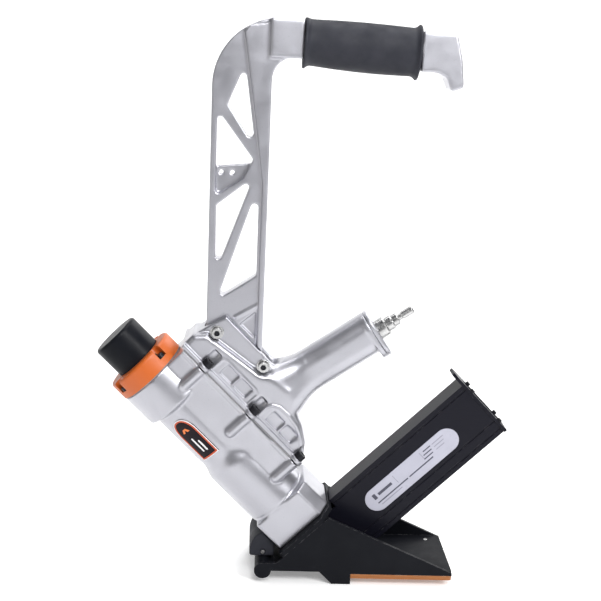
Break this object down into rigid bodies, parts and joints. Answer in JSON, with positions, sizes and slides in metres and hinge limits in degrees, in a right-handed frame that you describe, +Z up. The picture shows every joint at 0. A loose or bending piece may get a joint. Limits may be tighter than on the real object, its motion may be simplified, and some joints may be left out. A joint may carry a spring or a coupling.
{
  "type": "flooring nailer",
  "caption": "Pneumatic flooring nailer struck by a mallet: 45-degree body with strike cap, long truss handle, short air-inlet grip, slanted magazine and hooked shoe.",
  "frame": {"origin": "the corner where the sole's underside meets the lip's face, on the tool's centre plane; the nail leaves just below it", "axes": "+X along the sole over the laid boards, +Z up, Y across the tool; the tool axis leans 45 degrees towards -X and +Z"},
  "size_m": [0.3883, 0.08, 0.521],
  "materials": {
    "silver_casting": "satin silver lacquer on a die casting",
    "orange_paint": "semi-gloss orange enamel",
    "black_nylon": "moulded black nylon, satin",
    "black_paint": "fine-textured black powder coat",
    "black_anodised": "black anodised extrusion, satin",
    "black_rubber": "moulded black rubber, matte",
    "gasket": "compressed fibre sheet",
    "black_screws": "black oxide",
    "steel": "zinc-plated steel",
    "tool_steel": "ground tool steel",
    "spring_steel": "drawn spring steel",
    "machined_aluminium": "turned, clear anodised",
    "filter_mesh": "woven mesh",
    "label": null,
    "badge": null
  },
  "bodies": {
    "nailer_frame": {"air_bushing": "steel", "air_plug": "steel", "badge": "badge", "body_casting": "silver_casting", "bumper_pin": "steel", "cap_gasket": "gasket", "cap_ring": "orange_paint", "cap_screws": "black_screws", "cylinder_sleeve": "machined_aluminium", "end_cap": "silver_casting", "end_screws": "black_screws", "flange_gasket": "gasket", "flange_screws": "black_screws", "front_bumper": "black_rubber", "front_rest": "black_paint", "grip_sleeve": "black_rubber", "guide_front": "tool_steel", "guide_rear": "tool_steel", "guide_screws": "black_screws", "handle_bolts": "steel", "handle_casting": "silver_casting", "handle_nuts": "steel", "handle_washers": "steel", "head_valve_spring": "spring_steel", "inlet_filter": "filter_mesh", "long_handle": "silver_casting", "magazine": "black_anodised", "magazine_end": "black_anodised", "magazine_label": "label", "nose_plate": "black_paint", "nose_screws": "black_screws", "piston_bumper": "black_rubber", "shoe": "black_paint", "sleeve_seals": "black_rubber", "sole_plate": "orange_paint", "sole_screws": "steel", "strike_spring": "spring_steel", "valve_housing": "machined_aluminium"},
    "striker": {"strike_cap": "black_nylon", "valve_stem": "machined_aluminium", "stem_seal": "black_rubber"},
    "head_valve": {"head_valve": "machined_aluminium"},
    "piston": {"piston": "machined_aluminium", "piston_ring": "black_rubber", "driver_blade": "tool_steel", "blade_pin": "steel"},
    "pusher": {"pusher": "black_anodised", "spring_reel": "spring_steel"}
  },
  "joints": [
    {"name": "strike_cap_press", "type": "slide", "parent": "nailer_frame", "child": "striker", "axis": [0.7071, 0, -0.7071], "range_m": [0, 0.008], "stiffness_N_per_m": 2500, "springref_m": -0.008, "deforming": ["strike_spring"]},
    {"name": "head_valve_lift", "type": "slide", "parent": "nailer_frame", "child": "head_valve", "axis": [-0.7071, 0, 0.7071], "range_m": [0, 0.005], "stiffness_N_per_m": 1500, "springref_m": -0.006, "deforming": ["head_valve_spring"]},
    {"name": "driver_stroke", "type": "slide", "parent": "nailer_frame", "child": "piston", "axis": [0.7071, 0, -0.7071], "range_m": [0, 0.064]},
    {"name": "pusher_feed", "type": "slide", "parent": "nailer_frame", "child": "pusher", "axis": [0.7071, 0, 0.7071], "range_m": [0, 0.12], "stiffness_N_per_m": 60, "springref_m": -0.15}
  ]
}
